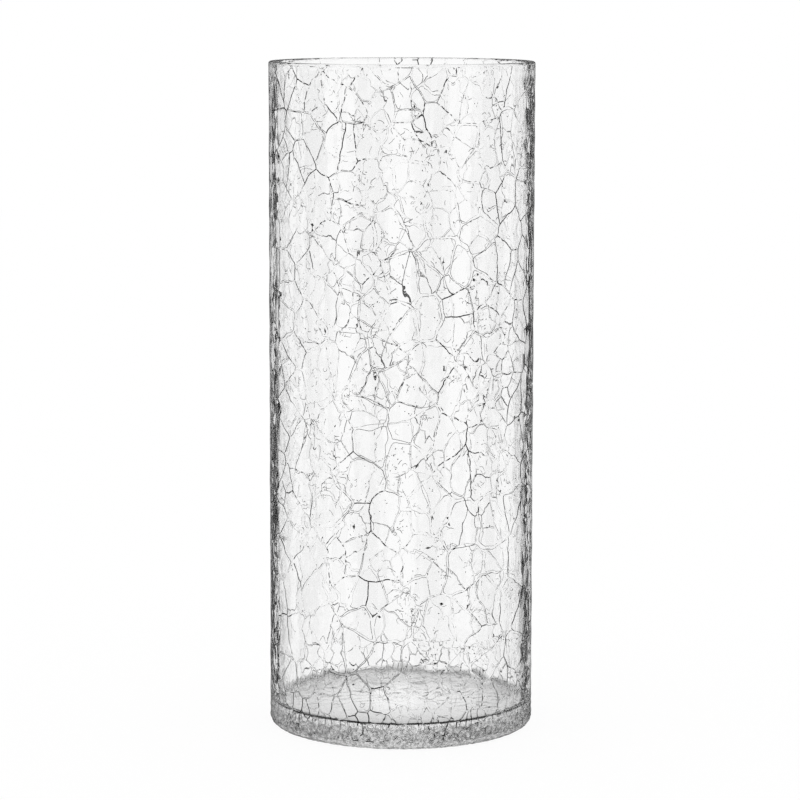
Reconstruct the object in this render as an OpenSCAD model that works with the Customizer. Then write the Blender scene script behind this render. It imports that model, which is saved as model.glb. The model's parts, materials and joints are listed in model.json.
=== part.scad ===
// Crackle glass cylinder vase, standing on the XY plane with its axis on Z. Sizes are in millimetres.

/* [Vase] */
// Height from the table to the rim
vase_h = 302; // [220:1:380]
// Outside diameter, over the crackled skin
vase_d = 120; // [100:1:150]
// Thickness of the whole wall, crackled skin included
wall_t = 3.6; // [3.4:0.1:8]
// Thickness of the heavy floor, from the table up
floor_t = 10.5; // [9:0.5:20]

/* [Edges] */
// Radius of the rounded foot
foot_r = 3.6; // [2:0.1:5]
// Straight side of the foot, between its rounding and the skin
foot_land = 1; // [0.5:0.1:2]
// Radius of the cove where the floor turns up into the wall
cove_r = 3; // [1:0.5:8]
// Radius of the polished inner edge of the rim
lip_r = 0.5; // [0.3:0.1:1.1]

/* [Underside] */
// Rise of the shallow cone hollowed out under the base
punt_h = 0.5; // [0.3:0.1:4]
// Width of the flat ring that the vase stands on
stand_w = 7; // [4:0.5:12]

/* [Crackle] */
// Thickness of the crackled skin
skin_t = 1.6; // [1.5:0.1:2.2]
// Gap between the round wall and the flats inside the skin
skin_gap = 0.05; // [0.02:0.01:0.1]
// Mean width of a cell of the crackle
cell_w = 18; // [15:0.5:20]
// Width of a crack at the surface
crack_w = 0.9; // [0.4:0.1:1.5]
// Depth of a crack
crack_depth = 0.5; // [0.2:0.1:0.6]
// How far the corners of a cell stray, as a share of the way to the next corner
stray = 0.25; // [0:0.05:0.28]
// Number of the random draw that places the cracks
crackle_seed = 7; // [1:1:50]

/* [Hidden] */
$fn = 96;

vase_r = vase_d / 2;
bore_r = vase_r - wall_t;
core_r = vase_r - skin_t;
foot_h = foot_r + foot_land;
seam_z = floor_t + cove_r;
stand_r = vase_r - foot_r;
punt_r = stand_r - stand_w;

// The crackle is a honeycomb with strayed corners, drawn as level zigzag lines of corners
// with a row of cells between each two lines.
skin_h = vase_h - foot_h;
cells_round = round(PI * vase_d / cell_w);
rows = round(skin_h / (cell_w * cos(30)));
row_h = skin_h / rows;
zigzag = row_h / 6;
corners = 2 * cells_round;
corner_deg = 360 / corners;
inner_r = (core_r + skin_gap) / cos(corner_deg / 2);
crack_share = crack_w / cell_w;
turn_stray = rands(-stray, stray, corners * (rows + 1), crackle_seed);
rise_stray = rands(-stray, stray, corners * (rows + 1), crackle_seed + 1);

// Foot with its rounded lower edge, as half a section
module foot_section() {
    square([stand_r, foot_h]);
    translate([0, foot_r])
        square([vase_r, foot_land]);
    translate([stand_r, foot_r])
        circle(r = foot_r);
}

// Floor, its cove and the collar that the wall is fused on, as half a section
module cup_section() {
    square([core_r, floor_t]);
    translate([bore_r, 0])
        square([core_r - bore_r, seam_z]);
    difference() {
        translate([bore_r - cove_r, 0])
            square([cove_r, seam_z]);
        translate([bore_r - cove_r, seam_z])
            circle(r = cove_r);
    }
}

// Heavy floor of the vase, hollowed underneath so that it stands on a ring
module heavy_base() {
    color("gainsboro", 0.6)
        rotate_extrude()
            difference() {
                union() {
                    foot_section();
                    cup_section();
                }
                polygon([[0, 0], [punt_r, 0], [0, punt_h]]);
            }
}

// Clear wall that holds the water, with the inner edge of its rim polished round
module glass_wall() {
    color("whitesmoke", 0.4)
        rotate_extrude()
            difference() {
                translate([bore_r, seam_z])
                    square([core_r - bore_r, vase_h - seam_z]);
                difference() {
                    translate([bore_r, vase_h - lip_r])
                        square(lip_r);
                    translate([bore_r + lip_r, vase_h - lip_r])
                        circle(r = lip_r);
                }
            }
}

// Place of a corner on the unrolled skin: [degrees round the axis, height]
function corner_flat(line, i) =
    let (
        at = line * corners + i % corners,
        edge = line == 0 || line == rows,
        tooth = (i + line) % 2 == 0 ? zigzag : -zigzag
    )
    edge
        ? [i * corner_deg, foot_h + line * row_h]
        : [(i + turn_stray[at]) * corner_deg, foot_h + (line + rise_stray[at]) * row_h + tooth];

// The six corners of a cell, anticlockwise seen from outside, as [line, corner number]
function cell_corners(row, k) =
    let (first = 2 * k + row % 2)
    [
        [row, first], [row, first + 1], [row, first + 2],
        [row + 1, first + 2], [row + 1, first + 1], [row + 1, first]
    ];

function mean(points) = [for (p = points) 1] * points / len(points);
function rolled(p, r) = [r * cos(p[0]), r * sin(p[0]), p[1]];

// Outer skin of the glass, split by the quench into cells with a crack round each
module crackle_skin() {
    cells = [for (row = [0 : rows - 1], k = [0 : cells_round - 1]) cell_corners(row, k)];
    outlines = [for (cell = cells) [for (c = cell) corner_flat(c[0], c[1])]];
    crack_floor = [
        for (line = [0 : rows], i = [0 : corners - 1])
            rolled(corner_flat(line, i), vase_r - crack_depth)
    ];
    cell_edges = [
        for (outline = outlines, p = outline)
            rolled(p + crack_share * (mean(outline) - p), vase_r)
    ];
    cell_tops = [for (outline = outlines) rolled(mean(outline), vase_r)];
    inner_ring = [
        for (z = [foot_h, vase_h], i = [0 : corners - 1])
            rolled([i * corner_deg, z], inner_r)
    ];

    edge_at = len(crack_floor);
    top_at = edge_at + len(cell_edges);
    low_ring_at = top_at + len(cell_tops);
    high_ring_at = low_ring_at + corners;
    high_line_at = rows * corners;

    tops = [
        for (n = [0 : len(cells) - 1], k = [0 : 5])
            [top_at + n, edge_at + 6 * n + (k + 1) % 6, edge_at + 6 * n + k]
    ];
    crack_sides = [
        for (n = [0 : len(cells) - 1], k = [0 : 5])
            let (
                next = (k + 1) % 6,
                a = cells[n][k][0] * corners + cells[n][k][1] % corners,
                b = cells[n][next][0] * corners + cells[n][next][1] % corners,
                c = edge_at + 6 * n + next,
                d = edge_at + 6 * n + k
            )
            each [[a, c, b], [a, d, c]]
    ];
    ring_faces = [
        for (i = [0 : corners - 1])
            let (next = (i + 1) % corners)
            each [
                [low_ring_at + i, low_ring_at + next, high_ring_at + next, high_ring_at + i],
                [i, next, low_ring_at + next, low_ring_at + i],
                [high_ring_at + i, high_ring_at + next, high_line_at + next, high_line_at + i]
            ]
    ];

    color("silver", 0.4)
        polyhedron(
            points = concat(crack_floor, cell_edges, cell_tops, inner_ring),
            faces = concat(tops, crack_sides, ring_faces)
        );
}

heavy_base();
glass_wall();
crackle_skin();
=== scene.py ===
"""Looks of the crackle glass cylinder vase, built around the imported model. Units are metres."""

import json
import math
import random

import bpy
import numpy as np
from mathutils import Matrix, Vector, noise
from mathutils.geometry import delaunay_2d_cdt


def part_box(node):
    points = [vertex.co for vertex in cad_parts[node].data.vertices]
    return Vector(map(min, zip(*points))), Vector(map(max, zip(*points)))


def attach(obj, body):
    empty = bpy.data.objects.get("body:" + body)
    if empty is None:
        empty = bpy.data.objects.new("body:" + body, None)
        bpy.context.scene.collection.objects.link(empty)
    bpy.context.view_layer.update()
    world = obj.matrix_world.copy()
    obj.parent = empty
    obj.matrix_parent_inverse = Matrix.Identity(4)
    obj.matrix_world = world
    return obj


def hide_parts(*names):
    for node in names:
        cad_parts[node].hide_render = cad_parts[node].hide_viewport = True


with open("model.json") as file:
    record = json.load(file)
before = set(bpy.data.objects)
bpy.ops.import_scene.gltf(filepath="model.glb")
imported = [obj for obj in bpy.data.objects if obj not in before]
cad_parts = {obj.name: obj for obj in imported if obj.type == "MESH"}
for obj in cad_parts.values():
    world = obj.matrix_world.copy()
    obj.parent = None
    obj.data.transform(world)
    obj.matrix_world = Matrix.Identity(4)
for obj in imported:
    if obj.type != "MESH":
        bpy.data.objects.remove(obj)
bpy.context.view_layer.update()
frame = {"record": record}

MM = 0.001

# Sizes of the vase, from the frame
VASE_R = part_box("heavy_base")[1].x
VASE_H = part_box("glass_wall")[1].z
SEAM_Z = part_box("heavy_base")[1].z
BORE_R = next(m["dims"]["r_mm"] for m in frame["record"]["mounts"] if m["name"] == "mouth") * MM

# Sizes that no box gives
COVE_R = 3.0 * MM
FLOOR_Z = SEAM_Z - COVE_R
FOOT_R = 3.6 * MM
STAND_R = VASE_R - FOOT_R
STAND_W = 7.0 * MM
PUNT_R = STAND_R - STAND_W
PUNT_H = 0.5 * MM
LIP_R = 0.5 * MM
RIM_EDGE_R = 1.2 * MM

# Turning: steps round the axis and along the profile, and loops that keep the rounded edges crisp
LATHE_STEPS = 384
RIM_STEPS = 6
COVE_STEPS = 12
FOOT_STEPS = 8
STAND_STEPS = 5
PUNT_STEPS = 30
FLOOR_RINGS = 0.75, 0.5, 0.25, 0.1, 0
LIP_SUPPORT_H = 4.0 * MM
COVE_SUPPORT_W = 0.3 * MM

# Seams between the turned pieces and the crackled side, and the angle up to which faces look smooth
SEAM_GAP = 0.3 * MM
SEAM_REACH = 1.5 * SEAM_GAP
SMOOTH_ANGLE = math.radians(35)

# Uneven glass at rim and foot. Waves are pairs of size and strength.
RIM_TOP_H = 0.75 * MM
LIP_WOBBLE = 0.65 * MM
LIP_WAVES = (7.0 * MM, 1.5), (2.0 * MM, 0.6)
FOOT_EDGE_R = STAND_R - 0.1 * MM
FOOT_ROUGH = 0.3 * MM
FOOT_ROUGH_SIZE = 1.5 * MM
FOOT_ROUGH_TOP = 13.0 * MM
RIPPLE_H = 0.06 * MM
RIPPLE_WAVES = (4.0 * MM, 1.0), (1.7 * MM, 0.5)
# Height of the crazed glass round the foot, grey in painted shade, and the size of the noise that picks
# which cracks there healed
CRAZED_H = 10.0 * MM
CRAZED_WAVES = ((4.0 * MM, 0.15),)
HEALED_SIZE = 3.0 * MM

# Cells of the crackle: widest low on the wall, with nests of small ones, and fine round the foot
SEED = 11
CELL_W_LOW = 20.0 * MM
CELL_W_HIGH = 14.0 * MM
CELL_W_FOOT = 2.1 * MM
CELL_STRETCH = 1.2
CELL_SWING_SIZE = 28.0 * MM
CELL_MEAN = 0.85
CELL_SWING = 0.6
NEST_SIZE = 13.0 * MM
NEST_SHIFT = Vector((7, 3, 5))
NEST_LEVEL = 0.38
NEST_SHRINK = 0.4
FOOT_CRACKLE_TOP = 9.0 * MM
FOOT_CRACKLE_GROWTH = 0.42
FOOT_DART_SHARE = 0.4
FOOT_SPARE_H = 5.0 * MM
RIM_SPARE_H = 16.0 * MM
MOST_MISSES = 2000
SAME_PLACE = 1e-9

# Cracks round the cells. Wanders are pairs of size and reach.
CRACK_STEP = 1.4 * MM
CORNER_MERGE = 0.25 * MM
CRACK_WANDERS = (14.0 * MM, 1.8 * MM), (3.5 * MM, 0.9 * MM)
CRACK_LEAST_W = 0.08 * MM
CRACK_SPREADS = 0.0, 0.0, 0.0, 0.015, 0.03, 0.05
CRACK_MOST_SPREAD = 0.8 * MM
CRACK_W_WAVES = ((7.0 * MM, 1.6),)
CRACK_WALL_W = 0.18 * MM
NARROW_CRACK_AREA = 0.25 * MM * MM
CRACK_DEPTH = 0.32 * MM
DEPTH_SIZE = 15.0 * MM
DEPTH_LEAST = 0.05
DEPTH_MEAN = 0.55
DEPTH_SWING = 1.2
CELL_DOME = 0.2 * MM
DOME_WAVES = ((5.0 * MM, 0.5),)
RIM_FADE = 5.0 * MM
RIM_LEAST = 0.15

# Splits that the quench left inside the glass, with ranges in millimetres. A kind of split is its length,
# its half width and its steps.
LONE_SPLITS = 520
CLUSTERS = 280
CLUSTER_REACH = 1.5, 5.0
CLUSTER_SPLITS = 3, 13
BLACK_SPLITS = 36
BLACK_SPLIT = (1.6, 3.0), (0.4, 0.75), 2
HAIR_SHARE = 0.4
HAIR_SPLIT = (1.5, 5.0), (0.07, 0.12), 6
FLECK_SPLIT = (0.4, 1.1), (0.12, 0.28), 2
SPLIT_HALF_T = 0.05 * MM
SPLIT_LOW = SEAM_Z + 4.0 * MM
SPLIT_HIGH = VASE_H - 14.0 * MM
SPLIT_INNER_R = BORE_R + 0.8 * MM
SPLIT_OUTER_R = VASE_R - 1.4 * MM
SPLIT_CURL = 0.35
SPLIT_STRAY = 0.3

# Glass, and the sizes of the noise patterns that set the painted shade of its cracks, splits and foot
GLASS_IOR = 1.45
HACKLE_SIZE = 2.0 * MM
STRESS_W = 28.0 * MM
STRESS_H = 60.0 * MM
STRESS_SHARE = 0.8
CRACK_PALER_UP = 0.06
SPLIT_SHADE_SIZE = 4.0 * MM
CRAZE_SIZE = 1.4 * MM

# Room as the glass mirrors it, where 1 is white. The edges are heights on a sphere of directions.
SCREENS_ROUND = 6
SCREEN_SWING = 0.1
PATCH_SCALE = 6.0, 6.0, 18.0
PATCH_SEED = 3.7
PATCH_EDGES = 0.49, 0.51
FLOOR_EDGE = -0.4, -0.25
WALL_EDGE = -0.02, 0.06
CEILING_EDGE = 0.15, 0.45
SCREEN_LIGHT = 1.0
GAP_LIGHT = 0.005
FLOOR_LIGHT = 0.8
WALL_LIGHT = 0.95
CEILING_LIGHT = 0.9
FRONT_MIRROR = 0.15

# White card that the vase stands on, and painted shadow on it: a ring round the foot that is seen only
# through the glass, its centre set back from the camera so the shade lies towards it as if the light came
# from behind, and a dark patch under the vase for light that the glass has mirrored
CARD_W = 6.0
CARD_DROP = 0.1 * MM
CARD_GLOW = 0.93
CONTACT_SHADE = 0.55
CONTACT_BACK = 10.0 * MM
CONTACT_INSIDE = STAND_R - 44 * MM, STAND_R - 10 * MM
CONTACT_OUTSIDE = VASE_R + 2 * MM, VASE_R + 30 * MM
UNDER_SHADE = 0.03
UNDER_EDGE = VASE_R, VASE_R + 12 * MM

# Bounces of light: a count above ANY_BOUNCE is one or more, and the other two are limits
ANY_BOUNCE = 0.5
GLASS_BOUNCES = 24
MIRROR_BOUNCES = 16

# Camera, fitted to the outline in the photograph
CAMERA_DISTANCE = 1.394
CAMERA_HEIGHT = 0.341
CAMERA_TILT = math.radians(7.131)
CAMERA_ASIDE = -0.00095
CAMERA_ROLL = math.radians(-0.1)
LENS_MM = 139.1
SHIFT_Y = -0.05


def linear(hex_colour):
    """Linear colour of an sRGB hex value."""
    parts = [int(hex_colour[i:i + 2], 16) / 255 for i in (1, 3, 5)]
    return [c / 12.92 if c <= 0.04045 else ((c + 0.055) / 1.055) ** 2.4 for c in parts] + [1.0]


def add_node(tree, kind, links=None, **settings):
    """Adds a node with its settings and input values, and links its inputs from other outputs."""
    node = tree.nodes.new(kind)
    for name, value in settings.items():
        setattr(node, name, value)
    for socket, source in (links or {}).items():
        if hasattr(source, "node"):
            tree.links.new(source, node.inputs[socket])
        else:
            node.inputs[socket].default_value = source
    return node


def new_material(name):
    """A material without nodes, and its tree."""
    material = bpy.data.materials.new(name)
    material.use_nodes = True
    material.node_tree.nodes.clear()
    return material, material.node_tree


def finish_as_glass(tree, colour, roughness):
    """Ends a material as soda-lime glass. The colour is a value, or the output that gives it."""
    shader = add_node(tree, "ShaderNodeBsdfPrincipled", {
        "Base Color": colour,
        "Roughness": roughness,
        "IOR": GLASS_IOR,
        "Transmission Weight": 1.0,
    })
    add_node(tree, "ShaderNodeOutputMaterial", {"Surface": shader.outputs[0]})


def clear_glass():
    """Soda-lime glass, fire polished: clear, smooth and without colour."""
    material, tree = new_material("clear soda-lime glass")
    finish_as_glass(tree, linear("#FFFFFF"), 0.0)
    return material


def fractured_glass_painted_shade():
    """Walls of the cracks, a little rough, in painted shade: a colour from near black to near white stands
    in for the light that the cracks turn away, so they read as lines that come and go.
    """
    material, tree = new_material("fractured soda-lime glass, painted shade")
    place = add_node(tree, "ShaderNodeTexCoord")
    # The hackle noise breaks the painted shade into dashes, and the stress noise makes wide regions of it
    # paler or darker
    hackle = add_node(tree, "ShaderNodeTexNoise", {
        "Vector": place.outputs["Object"],
        "Scale": 1 / HACKLE_SIZE,
        "Detail": 3.0,
        "Roughness": 0.6,
    })
    tall = add_node(tree, "ShaderNodeVectorMath", {
        0: place.outputs["Object"],
        1: (1 / STRESS_W, 1 / STRESS_W, 1 / STRESS_H),
    }, operation="MULTIPLY")
    stress = add_node(tree, "ShaderNodeTexNoise", {"Vector": tall.outputs[0], "Scale": 1.0, "Detail": 1.0})
    parts = add_node(tree, "ShaderNodeSeparateXYZ", {0: place.outputs["Object"]})
    # The painted shade grows paler towards the top of the vase
    paler = add_node(tree, "ShaderNodeMath", {
        0: parts.outputs["Z"],
        1: CRACK_PALER_UP / VASE_H,
        2: hackle.outputs["Fac"],
    }, operation="MULTIPLY_ADD")
    crack_shade_level = add_node(tree, "ShaderNodeMath", {
        0: stress.outputs["Fac"],
        1: STRESS_SHARE,
        2: paler.outputs[0],
    }, operation="MULTIPLY_ADD")
    shade = add_node(tree, "ShaderNodeValToRGB", {"Fac": crack_shade_level.outputs[0]})
    # Painted shade: the crack walls run from near black to near white
    dark, pale = shade.color_ramp.elements
    dark.position, dark.color = 0.91, linear("#020202")
    pale.position, pale.color = 0.99, linear("#F8F8F8")
    finish_as_glass(tree, shade.outputs["Color"], 0.1)
    return material


def split_glass_painted_shade():
    """Splits inside the wall: air-filled gaps that turn the light away. Their dark is painted shade, a
    colour from near black to dark grey.
    """
    material, tree = new_material("split soda-lime glass, painted shade")
    place = add_node(tree, "ShaderNodeTexCoord")
    # This noise sets the painted shade of the splits
    depth = add_node(tree, "ShaderNodeTexNoise", {
        "Vector": place.outputs["Object"],
        "Scale": 1 / SPLIT_SHADE_SIZE,
        "Detail": 1.0,
    })
    shade = add_node(tree, "ShaderNodeValToRGB", {"Fac": depth.outputs["Fac"]})
    # Painted shade: the splits run from near black to dark grey
    dark, pale = shade.color_ramp.elements
    dark.position, dark.color = 0.42, linear("#020202")
    pale.position, pale.color = 0.68, linear("#484848")
    finish_as_glass(tree, shade.outputs["Color"], 0.3)
    return material


def crazed_glass_painted_shade():
    """Side of the foot: crazed all over, a little rough so that it scatters the light, and a soft grey in
    painted shade, a mottled colour in place of the light that the thick glass there turns away.
    """
    material, tree = new_material("crazed soda-lime glass, painted shade")
    place = add_node(tree, "ShaderNodeTexCoord")
    # This noise mottles the painted shade of the foot
    craze = add_node(tree, "ShaderNodeTexNoise", {
        "Vector": place.outputs["Object"],
        "Scale": 1 / CRAZE_SIZE,
        "Detail": 3.0,
    })
    shade = add_node(tree, "ShaderNodeValToRGB", {"Fac": craze.outputs["Fac"]})
    # Painted shade: the foot runs from mid grey to white
    dark, pale = shade.color_ramp.elements
    dark.position, dark.color = 0.42, linear("#989898")
    pale.position, pale.color = 0.56, linear("#FFFFFF")
    finish_as_glass(tree, shade.outputs["Color"], 0.25)
    return material


def deselect():
    """Leaves edit mode, and deselects every object."""
    if bpy.context.object and bpy.context.object.mode == "EDIT":
        bpy.ops.object.mode_set(mode="OBJECT")
    bpy.ops.object.select_all(action="DESELECT")


def select_faces(obj, wanted):
    """Selects only the faces that are wanted, and leaves the object in edit mode."""
    bpy.ops.object.mode_set(mode="OBJECT")
    for items in (obj.data.vertices, obj.data.edges):
        for item in items:
            item.select = False
    for face in obj.data.polygons:
        face.select = wanted(face)
    bpy.ops.object.mode_set(mode="EDIT")
    bpy.ops.mesh.select_mode(type="FACE")


def new_mesh_object(name, points, faces):
    """A new object with these points and faces, the only one that is selected."""
    mesh = bpy.data.meshes.new(name)
    mesh.from_pydata(points, [], faces)
    obj = bpy.data.objects.new(name, mesh)
    bpy.context.scene.collection.objects.link(obj)
    deselect()
    obj.select_set(True)
    bpy.context.view_layer.objects.active = obj
    return obj


def set_radius(vertex, radius):
    """Moves a point straight in or out, to a distance from the axis."""
    across = math.hypot(vertex.co.x, vertex.co.y)
    vertex.co.x *= radius / across
    vertex.co.y *= radius / across


def uneven(place, waves):
    """Random factor at a place, 1 on the whole and never below 0, from waves of size and strength."""
    return max(0, 1 + sum(strength * noise.noise(place / size) for size, strength in waves))


def rolled(flat):
    """Place on the side of the vase of a point on the flat strip, which is stretched upwards."""
    turn = flat.x / VASE_R
    return Vector((VASE_R * math.cos(turn), VASE_R * math.sin(turn), flat.y * CELL_STRETCH))


def cell_spacing(flat):
    """Least distance between the cells at a place: a slow swing, with nests of small cells."""
    place = rolled(flat)
    rise = place.z / VASE_H
    wide = CELL_W_LOW + (CELL_W_HIGH - CELL_W_LOW) * rise
    wide *= CELL_MEAN + CELL_SWING * noise.noise(place / CELL_SWING_SIZE)
    if noise.noise(place / NEST_SIZE + NEST_SHIFT) > NEST_LEVEL:
        wide *= NEST_SHRINK
    return min(wide, CELL_W_FOOT + max(0, place.z - FOOT_CRACKLE_TOP) * FOOT_CRACKLE_GROWTH)


def scattered_sites(width, low, high, rng):
    """Random points on a strip that joins at its ends, no closer than the spacing at their place."""
    sites = np.zeros((0, 2))
    misses = 0
    while misses < MOST_MISSES:
        top = FOOT_CRACKLE_TOP if rng.random() < FOOT_DART_SHARE else high
        site = Vector((rng.uniform(0, width), rng.uniform(low, top)))
        across = np.abs(sites[:, 0] - site.x)
        across = np.minimum(across, width - across)
        if (np.hypot(across, sites[:, 1] - site.y) < cell_spacing(site)).any():
            misses += 1
        else:
            sites = np.vstack([sites, site])
            misses = 0
    return [Vector(site) for site in sites]


def circumcentre(a, b, c):
    """Point that is equally far from three points."""
    d = 2 * (a.x * (b.y - c.y) + b.x * (c.y - a.y) + c.x * (a.y - b.y))
    aa, bb, cc = a.length_squared, b.length_squared, c.length_squared
    return Vector((
        (aa * (b.y - c.y) + bb * (c.y - a.y) + cc * (a.y - b.y)) / d,
        (aa * (c.x - b.x) + bb * (a.x - c.x) + cc * (b.x - a.x)) / d,
    ))


def crack_outlines(low, high, rng):
    """Outlines of the cells on the flat strip, each the region nearest to one site."""
    width = 2 * math.pi * VASE_R
    sites = scattered_sites(width, low - 2 * FOOT_SPARE_H, high + 2 * RIM_SPARE_H, rng)
    margin = 3 * CELL_W_LOW
    around = [site + Vector((turn * width, 0)) for turn in (-1, 0, 1) for site in sites]
    around = [site for site in around if -margin < site.x < width + margin]
    points, _, triangles, _, _, _ = delaunay_2d_cdt(around, [], [], 0, SAME_PLACE)
    corners = {}
    for triangle in triangles:
        centre = circumcentre(*(points[i] for i in triangle))
        for i in triangle:
            corners.setdefault(i, []).append(centre)
    outlines = []
    for i, site in enumerate(points):
        if 0 <= site.x < width and low - FOOT_SPARE_H < site.y < high + RIM_SPARE_H:
            outlines.append(sorted(corners[i], key=lambda c: math.atan2(c.y - site.y, c.x - site.x)))
    return outlines


def stepped(outline):
    """The outline with points added along its sides, the same from both ends of a side."""
    points = []
    for a, b in zip(outline, outline[1:] + outline[:1]):
        count = max(1, round((b - a).length / CRACK_STEP))
        points += [a.lerp(b, k / count) for k in range(count)]
    return points


def crack_net(low, high, rng):
    """The side of the vase as a sheet of cells, with wandering outlines that neighbours share."""
    points, faces = [], []
    for outline in crack_outlines(low / CELL_STRETCH, high / CELL_STRETCH, rng):
        first = len(points)
        points += [rolled(flat) for flat in stepped(outline)]
        faces.append(range(first, len(points)))
    wall = new_mesh_object("crackled_glass", points, faces)
    bpy.ops.object.mode_set(mode="EDIT")
    bpy.ops.mesh.select_all(action="SELECT")
    bpy.ops.mesh.remove_doubles(threshold=CORNER_MERGE)
    bpy.ops.object.mode_set(mode="OBJECT")
    # Without a seed, noise_vector differs from run to run
    noise.seed_set(SEED)
    for v in wall.data.vertices:
        for size, reach in CRACK_WANDERS:
            v.co += noise.noise_vector(v.co / size) * reach
        set_radius(v, VASE_R)
    return wall


def draw_in_cells(wall, cells, rng):
    """Draws in the outline of each cell by a width that varies along it, and rounds it if it moves."""
    points = wall.data.vertices
    for face in wall.data.polygons[:cells]:
        ring = np.array([points[i].co for i in face.vertices])
        spread = min(math.sqrt(face.area) * rng.choice(CRACK_SPREADS), CRACK_MOST_SPREAD)
        if spread > 0:
            ring = (np.roll(ring, 1, axis=0) + 2 * ring + np.roll(ring, -1, axis=0)) / 4
        inward = ring.mean(axis=0) - ring
        inward /= np.linalg.norm(inward, axis=1, keepdims=True)
        for i, place, way in zip(face.vertices, ring, inward):
            points[i].co = Vector(place + way * spread * uneven(Vector(place), CRACK_W_WAVES))


def inset_cells(wall, cells, width):
    """Insets every cell, which keeps its number, and returns how many faces and points there were."""
    before = len(wall.data.polygons), len(wall.data.vertices)
    select_faces(wall, lambda face: face.index < cells)
    bpy.ops.mesh.inset(thickness=width, use_individual=True, use_even_offset=True)
    bpy.ops.object.mode_set(mode="OBJECT")
    return before


def sink_cracks(wall, sunk_points, edge_points, high):
    """Sinks the cracks and domes the cells, less so near the rim, and roughens the foot."""
    for v in wall.data.vertices:
        drop = 0
        if v.index < edge_points:
            drop = CELL_DOME * uneven(v.co, DOME_WAVES)
        if v.index < sunk_points:
            depth = DEPTH_MEAN + DEPTH_SWING * noise.noise(v.co / DEPTH_SIZE)
            drop += CRACK_DEPTH * min(1, max(DEPTH_LEAST, depth))
        if v.co.z < FOOT_ROUGH_TOP:
            drop += FOOT_ROUGH * noise.noise(v.co / FOOT_ROUGH_SIZE)
        fade = min(1, max(RIM_LEAST, (high - v.co.z) / RIM_FADE))
        set_radius(v, VASE_R - drop * fade)


def crackled_wall(glass, fracture_shade):
    """Outer side of the vase, cut into low domes with a crack round each."""
    rng = random.Random(SEED)
    low, high = FOOT_R + SEAM_GAP, VASE_H - RIM_EDGE_R - SEAM_GAP
    wall = crack_net(low, high, rng)
    wall.data.materials.append(glass)
    wall.data.materials.append(fracture_shade)

    # The bottom of each crack, then its walls, then the dome of each cell. The bottom of a narrow crack
    # is fractured like its walls.
    cells = len(wall.data.polygons)
    inset_cells(wall, cells, CRACK_LEAST_W)
    draw_in_cells(wall, cells, rng)
    bottom_faces, sunk_points = inset_cells(wall, cells, CRACK_WALL_W)
    for face in wall.data.polygons[cells:]:
        face.material_index = int(face.index >= bottom_faces or face.area < NARROW_CRACK_AREA)
    edge_points = len(wall.data.vertices)
    select_faces(wall, lambda face: face.index < cells)
    bpy.ops.mesh.poke()
    bpy.ops.object.mode_set(mode="OBJECT")
    sink_cracks(wall, sunk_points, edge_points, high)

    for z, cleared in ((low, "clear_inner"), (high, "clear_outer")):
        bpy.ops.object.mode_set(mode="EDIT")
        bpy.ops.mesh.select_all(action="SELECT")
        bpy.ops.mesh.bisect(plane_co=(0, 0, z), plane_no=(0, 0, 1), **{cleared: True})
        bpy.ops.object.mode_set(mode="OBJECT")
    return wall


def arc(centre_r, centre_z, radius, start, end, steps):
    """Points of a round stretch of a profile, from one angle to another in degrees."""
    turns = [math.radians(start + (end - start) * k / steps) for k in range(steps + 1)]
    return [(centre_r + radius * math.cos(a), centre_z + radius * math.sin(a)) for a in turns]


def turned(name, profile, material):
    """A surface turned on the Z axis: a circle, extruded and resized along the profile to the axis."""
    deselect()
    radius, z = profile[0]
    bpy.ops.mesh.primitive_circle_add(vertices=LATHE_STEPS, radius=radius, location=(0, 0, z))
    piece = bpy.context.object
    piece.name = name
    bpy.ops.object.transform_apply()
    bpy.ops.object.mode_set(mode="EDIT")
    bpy.ops.mesh.select_mode(type="VERT")
    bpy.ops.mesh.select_all(action="SELECT")
    for next_radius, next_z in profile[1:]:
        bpy.ops.mesh.extrude_region_move(TRANSFORM_OT_translate={"value": (0, 0, next_z - z)})
        if next_radius > 0:
            scale = next_radius / radius
            bpy.ops.transform.resize(value=(scale, scale, 1), center_override=(0, 0, next_z))
        else:
            bpy.ops.mesh.merge(type="CENTER")
        radius, z = next_radius, next_z
    bpy.ops.object.mode_set(mode="OBJECT")
    piece.data.materials.append(material)
    return piece


def inside_surface(glass):
    """Rim, inner wall, cove and floor, from the outer edge of the rim to the axis."""
    inside = turned("inside", [
        *arc(VASE_R - RIM_EDGE_R, VASE_H - RIM_EDGE_R, RIM_EDGE_R, 0, 90, RIM_STEPS),
        *arc(BORE_R + LIP_R, VASE_H - LIP_R, LIP_R, 90, 180, RIM_STEPS),
        (BORE_R, VASE_H - LIP_SUPPORT_H),
        (BORE_R, SEAM_Z + COVE_SUPPORT_W),
        *arc(BORE_R - COVE_R, SEAM_Z, COVE_R, 0, -90, COVE_STEPS),
        (BORE_R - COVE_R - COVE_SUPPORT_W, FLOOR_Z),
        *[(BORE_R * share, FLOOR_Z) for share in FLOOR_RINGS],
    ], glass)
    # The rim was polished by hand, so it falls unevenly towards its inner edge
    rim_w = VASE_R - RIM_EDGE_R - BORE_R
    for v in inside.data.vertices:
        if v.co.z > VASE_H - RIM_TOP_H:
            inward = VASE_R - RIM_EDGE_R - math.hypot(v.co.x, v.co.y)
            v.co.z -= max(0, inward / rim_w) * LIP_WOBBLE * uneven(v.co, LIP_WAVES)
    return inside


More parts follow.
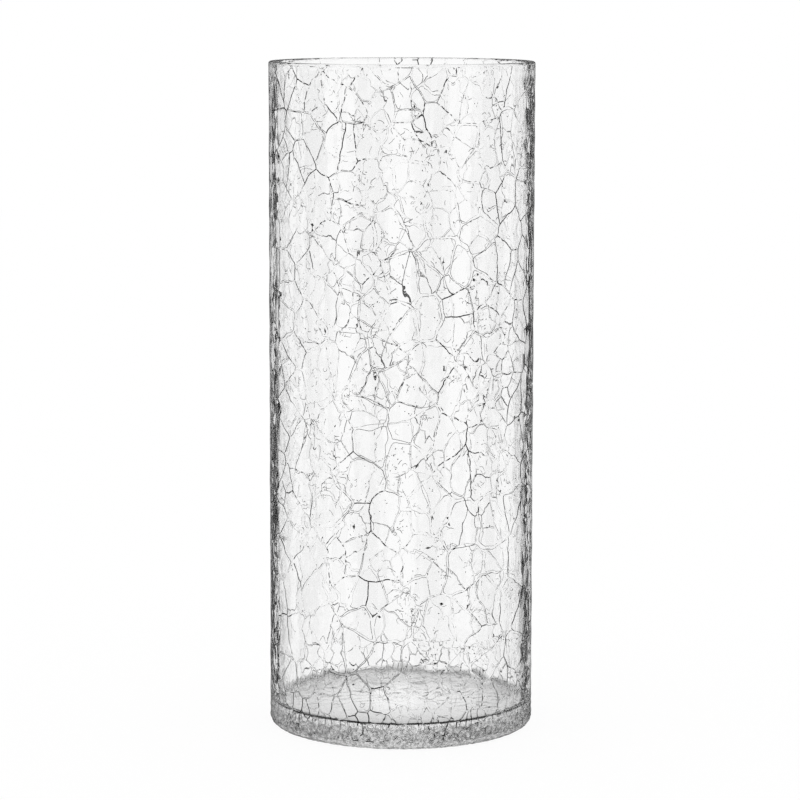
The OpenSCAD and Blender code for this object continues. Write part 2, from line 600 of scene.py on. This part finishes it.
def foot_surface(glass):
    """Rounded foot, standing ring and hollow underside, crinkled, from the side of the vase to the axis."""
    ring = [(STAND_R - STAND_W * k / STAND_STEPS, 0) for k in range(1, STAND_STEPS)]
    hollow = [(PUNT_R * (1 - k / PUNT_STEPS), PUNT_H * k / PUNT_STEPS) for k in range(PUNT_STEPS + 1)]
    foot = turned("foot", [*arc(STAND_R, FOOT_R, FOOT_R, 0, -90, FOOT_STEPS), *ring, *hollow], glass)
    for v in foot.data.vertices:
        across = math.hypot(v.co.x, v.co.y)
        if across > FOOT_EDGE_R:
            crumple = FOOT_ROUGH * noise.noise(v.co / FOOT_ROUGH_SIZE) / FOOT_R
            v.co.z = max(0, v.co.z + (FOOT_R - v.co.z) * crumple)
            set_radius(v, across + (STAND_R - across) * crumple)
        else:
            v.co.z += RIPPLE_H * uneven(v.co, RIPPLE_WAVES)
    return foot


def open_edges(obj, z, reach):
    """Selects the open edges near a height, and leaves the object in edit mode."""
    bpy.ops.object.mode_set(mode="EDIT")
    bpy.ops.mesh.select_mode(type="EDGE")
    bpy.ops.mesh.select_all(action="DESELECT")
    bpy.ops.mesh.select_non_manifold(extend=False, use_boundary=True, use_wire=False,
                                     use_multi_face=False, use_non_contiguous=False, use_verts=False)
    bpy.ops.object.mode_set(mode="OBJECT")
    points = obj.data.vertices
    near = [all(abs(points[i].co.z - z) < reach for i in edge.vertices) for edge in obj.data.edges]
    wanted = [edge.select and close for edge, close in zip(obj.data.edges, near)]
    for items in (obj.data.vertices, obj.data.polygons):
        for item in items:
            item.select = False
    for edge, chosen in zip(obj.data.edges, wanted):
        edge.select = chosen
    bpy.ops.object.mode_set(mode="EDIT")


def craze_foot(vase, crazed):
    """Gives the crazed glass, grey in painted shade, to the side of the foot, and to cracks there that the
    reheating healed.
    """
    vase.data.materials.append(crazed)
    for face in vase.data.polygons:
        outer = math.hypot(face.center.x, face.center.y) > FOOT_EDGE_R
        low = face.center.z < CRAZED_H * uneven(face.center, CRAZED_WAVES)
        healed = noise.noise(face.center / HEALED_SIZE) > 0
        if outer and low and (healed or face.material_index == 0):
            face.material_index = 2


def vase_glass(glass, fracture_shade, crazed):
    """The whole body of glass: crackled side, rim, inside, foot and underside, as one closed skin."""
    wall = crackled_wall(glass, fracture_shade)
    inside = inside_surface(glass)
    foot = foot_surface(glass)
    deselect()
    for piece in (wall, inside, foot):
        piece.select_set(True)
    bpy.context.view_layer.objects.active = wall
    bpy.ops.object.join()
    for z in (FOOT_R, VASE_H - RIM_EDGE_R):
        open_edges(wall, z, SEAM_REACH)
        bpy.ops.mesh.bridge_edge_loops()
        bpy.ops.object.mode_set(mode="OBJECT")
    bpy.ops.object.mode_set(mode="EDIT")
    bpy.ops.mesh.select_all(action="SELECT")
    bpy.ops.mesh.delete_loose()
    bpy.ops.mesh.select_all(action="SELECT")
    bpy.ops.mesh.normals_make_consistent(inside=False)
    bpy.ops.object.mode_set(mode="OBJECT")
    bpy.ops.object.shade_smooth_by_angle(angle=SMOOTH_ANGLE)
    select_faces(wall, lambda face: face.material_index == 1)
    bpy.ops.mesh.region_to_loop()
    bpy.ops.mesh.mark_sharp()
    bpy.ops.object.mode_set(mode="OBJECT")
    craze_foot(wall, crazed)
    return wall


def split_path(turn, z, length, steps, rng):
    """Wandering way of a split through the wall, at one depth."""
    radius = rng.uniform(SPLIT_INNER_R, SPLIT_OUTER_R)
    heading = rng.uniform(0, math.tau)
    curl = rng.gauss(0, SPLIT_CURL)
    path = []
    for _ in range(steps + 1):
        path.append(Vector((radius * math.cos(turn), radius * math.sin(turn), z)))
        turn += math.cos(heading) * length / steps / radius
        z += math.sin(heading) * length / steps
        heading += curl + rng.gauss(0, SPLIT_STRAY)
    return path


def split_shape(path, half_width):
    """Points and faces of a split: a flat spindle along its path that ends in a point at both ends."""
    points = [path[0]]
    for before, place, after in zip(path, path[1:], path[2:]):
        out = Vector((place.x, place.y, 0)).normalized()
        across = out.cross(after - before).normalized() * half_width
        points += [place + across, place + out * SPLIT_HALF_T, place - across, place - out * SPLIT_HALF_T]
    points.append(path[-1])
    last = len(points) - 1
    faces = []
    for k in range(4):
        a, b = 1 + k, 1 + (k + 1) % 4
        faces += [(0, b, a), (last, last - 5 + a, last - 5 + b)]
        faces += [(a + ring, b + ring, b + ring + 4, a + ring + 4) for ring in range(0, last - 5, 4)]
    return points, faces


def split_spots(rng):
    """Places of the splits as angle and height: some alone, and the rest in loose clusters."""
    spots = [(rng.uniform(0, math.tau), rng.uniform(SPLIT_LOW, SPLIT_HIGH)) for _ in range(LONE_SPLITS)]
    for _ in range(CLUSTERS):
        turn, z = rng.uniform(0, math.tau), rng.uniform(SPLIT_LOW, SPLIT_HIGH)
        reach = rng.uniform(*CLUSTER_REACH) * MM
        spots += [(rng.gauss(turn, reach / VASE_R), min(max(rng.gauss(z, reach), SPLIT_LOW), SPLIT_HIGH))
                  for _ in range(rng.randint(*CLUSTER_SPLITS))]
    return spots


def crackle_splits(material):
    """Small splits inside the wall, dark in painted shade: a few black ones, short hair cracks, and flecks.
    """
    rng = random.Random(SEED)
    points, faces = [], []
    for k, (turn, z) in enumerate(split_spots(rng)):
        if k < BLACK_SPLITS:
            kind = BLACK_SPLIT
        else:
            kind = HAIR_SPLIT if rng.random() < HAIR_SHARE else FLECK_SPLIT
        lengths, half_widths, steps = kind
        path = split_path(turn, z, rng.uniform(*lengths) * MM, steps, rng)
        split_points, split_faces = split_shape(path, rng.uniform(*half_widths) * MM)
        faces += [[len(points) + i for i in face] for face in split_faces]
        points += split_points
    piece = new_mesh_object("crackle_splits", points, faces)
    piece.data.materials.append(material)
    bpy.ops.object.mode_set(mode="EDIT")
    bpy.ops.mesh.select_all(action="SELECT")
    bpy.ops.mesh.normals_make_consistent(inside=False)
    bpy.ops.object.mode_set(mode="OBJECT")
    return piece


def white_room():
    """White world. Light that the glass has mirrored sees a room of screens and gaps in its place."""
    world = bpy.data.worlds.new("white studio")
    world.use_nodes = True
    tree = world.node_tree
    tree.nodes.clear()
    path = add_node(tree, "ShaderNodeLightPath")
    way = add_node(tree, "ShaderNodeTexCoord")
    parts = add_node(tree, "ShaderNodeSeparateXYZ", {0: way.outputs["Generated"]})

    # Screens with dark gaps between them all round, their edges broken up by patches
    turn = add_node(tree, "ShaderNodeMath", {
        0: parts.outputs["X"],
        1: parts.outputs["Y"],
    }, operation="ARCTAN2")
    turns = add_node(tree, "ShaderNodeMath", {0: turn.outputs[0], 1: SCREENS_ROUND}, operation="MULTIPLY")
    swing = add_node(tree, "ShaderNodeMath", {0: turns.outputs[0]}, operation="COSINE")
    spread = add_node(tree, "ShaderNodeVectorMath", {
        0: way.outputs["Generated"],
        1: PATCH_SCALE,
    }, operation="MULTIPLY")
    patches = add_node(tree, "ShaderNodeTexNoise", {
        "Vector": spread.outputs[0],
        "W": PATCH_SEED,
        "Scale": 1.0,
        "Detail": 1.0,
    }, noise_dimensions="4D")
    broken = add_node(tree, "ShaderNodeMath", {
        0: swing.outputs[0],
        1: SCREEN_SWING,
        2: patches.outputs["Fac"],
    }, operation="MULTIPLY_ADD")
    screens = add_node(tree, "ShaderNodeMapRange", {
        "Value": broken.outputs[0],
        "From Min": PATCH_EDGES[0],
        "From Max": PATCH_EDGES[1],
        "To Min": GAP_LIGHT,
        "To Max": SCREEN_LIGHT,
    })

    # From below: floor, screens, wall and ceiling
    below = add_node(tree, "ShaderNodeMapRange", {
        "Value": parts.outputs["Z"],
        "From Min": FLOOR_EDGE[0],
        "From Max": FLOOR_EDGE[1],
        "To Min": FLOOR_LIGHT,
        "To Max": screens.outputs[0],
    })
    above = add_node(tree, "ShaderNodeMapRange", {
        "Value": parts.outputs["Z"],
        "From Min": CEILING_EDGE[0],
        "From Max": CEILING_EDGE[1],
        "To Min": WALL_LIGHT,
        "To Max": CEILING_LIGHT,
    })
    inside = add_node(tree, "ShaderNodeMapRange", {
        "Value": parts.outputs["Z"],
        "From Min": WALL_EDGE[0],
        "From Max": WALL_EDGE[1],
        "To Min": below.outputs[0],
        "To Max": above.outputs[0],
    })

    # The outer face mirrors one dim tone, and what is mirrored inside the glass sees the room
    entered = add_node(tree, "ShaderNodeMath", {
        0: path.outputs["Transmission Depth"],
        1: ANY_BOUNCE,
    }, operation="GREATER_THAN")
    mirror = add_node(tree, "ShaderNodeMapRange", {
        "Value": entered.outputs[0],
        "To Min": FRONT_MIRROR,
        "To Max": inside.outputs[0],
    })
    mirrored = add_node(tree, "ShaderNodeMath", {
        0: path.outputs["Glossy Depth"],
        1: ANY_BOUNCE,
    }, operation="GREATER_THAN")
    strength = add_node(tree, "ShaderNodeMapRange", {
        "Value": mirrored.outputs[0],
        "To Min": 1.0,
        "To Max": mirror.outputs[0],
    })
    light = add_node(tree, "ShaderNodeBackground", {
        "Color": linear("#FFFFFF"),
        "Strength": strength.outputs[0],
    })
    add_node(tree, "ShaderNodeOutputWorld", {"Surface": light.outputs[0]})
    bpy.context.scene.world = world


def white_floor():
    """White card that keeps the soft shadow of the vase, and shows a painted shadow, a ring round the foot,
    through the glass.
    """
    deselect()
    bpy.ops.mesh.primitive_plane_add(size=CARD_W, location=(0, 0, -CARD_DROP))
    floor = bpy.context.object
    floor.name = "floor"
    material, tree = new_material("white card")
    path = add_node(tree, "ShaderNodeLightPath")
    place = add_node(tree, "ShaderNodeTexCoord")
    # Painted shadow: for light that comes through the glass, the card glows less in a ring round the foot,
    # centred a little behind the vase
    away = add_node(tree, "ShaderNodeVectorMath", {
        0: place.outputs["Object"],
        1: (0, CONTACT_BACK, 0),
    }, operation="DISTANCE")
    inner = add_node(tree, "ShaderNodeMapRange", {
        "Value": away.outputs["Value"],
        "From Min": CONTACT_INSIDE[0],
        "From Max": CONTACT_INSIDE[1],
        "To Min": 1.0,
        "To Max": CONTACT_SHADE,
    })
    outer = add_node(tree, "ShaderNodeMapRange", {
        "Value": away.outputs["Value"],
        "From Min": CONTACT_OUTSIDE[0],
        "From Max": CONTACT_OUTSIDE[1],
        "To Min": CONTACT_SHADE,
        "To Max": 1.0,
    })
    contact = add_node(tree, "ShaderNodeMath", {
        0: inner.outputs[0],
        1: outer.outputs[0],
    }, operation="MAXIMUM")
    shade = add_node(tree, "ShaderNodeMath", {
        0: contact.outputs[0],
        1: path.outputs["Is Camera Ray"],
    }, operation="MAXIMUM")
    glow = add_node(tree, "ShaderNodeEmission", {"Color": linear("#FFFFFF"), "Strength": shade.outputs[0]})
    matt = add_node(tree, "ShaderNodeBsdfDiffuse", {"Color": linear("#FFFFFF")})
    straight = add_node(tree, "ShaderNodeMath", {
        0: path.outputs["Is Camera Ray"],
        1: CARD_GLOW,
    }, operation="MULTIPLY")
    share = add_node(tree, "ShaderNodeMath", {
        0: straight.outputs[0],
        1: path.outputs["Is Transmission Ray"],
    }, operation="MAXIMUM")
    card = add_node(tree, "ShaderNodeMixShader", {
        0: share.outputs[0],
        1: matt.outputs[0],
        2: glow.outputs[0],
    })

    # Light that the glass has mirrored passes the card, because the room says what it shows. Near and under
    # the vase that light is darkened, a painted shadow.
    mirrored = add_node(tree, "ShaderNodeMath", {
        0: path.outputs["Glossy Depth"],
        1: ANY_BOUNCE,
    }, operation="GREATER_THAN")
    across = add_node(tree, "ShaderNodeVectorMath", {0: place.outputs["Object"]}, operation="LENGTH")
    under = add_node(tree, "ShaderNodeMapRange", {
        "Value": across.outputs["Value"],
        "From Min": UNDER_EDGE[0],
        "From Max": UNDER_EDGE[1],
        "To Min": UNDER_SHADE,
        "To Max": 1.0,
    })
    clear = add_node(tree, "ShaderNodeBsdfTransparent", {"Color": under.outputs[0]})
    mix = add_node(tree, "ShaderNodeMixShader", {
        0: mirrored.outputs[0],
        1: card.outputs[0],
        2: clear.outputs[0],
    })
    add_node(tree, "ShaderNodeOutputMaterial", {"Surface": mix.outputs[0]})
    floor.data.materials.append(material)


def photo_camera():
    """Camera at the viewing angle of the photograph."""
    data = bpy.data.cameras.new("camera")
    data.lens = LENS_MM
    data.shift_y = SHIFT_Y
    camera = bpy.data.objects.new("camera", data)
    camera.location = (CAMERA_ASIDE, -CAMERA_DISTANCE, CAMERA_HEIGHT)
    camera.rotation_euler = (math.pi / 2 - CAMERA_TILT, CAMERA_ROLL, 0)
    bpy.context.scene.collection.objects.link(camera)
    bpy.context.scene.camera = camera


photo_camera()
white_room()
white_floor()
vase = vase_glass(clear_glass(), fractured_glass_painted_shade(), crazed_glass_painted_shade())
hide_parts("heavy_base", "glass_wall", "crackle_skin")
for piece in (vase, crackle_splits(split_glass_painted_shade())):
    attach(piece, "root")

scene = bpy.context.scene
scene.view_settings.view_transform = "Standard"
scene.cycles.max_bounces = GLASS_BOUNCES
scene.cycles.transmission_bounces = GLASS_BOUNCES
scene.cycles.glossy_bounces = MIRROR_BOUNCES
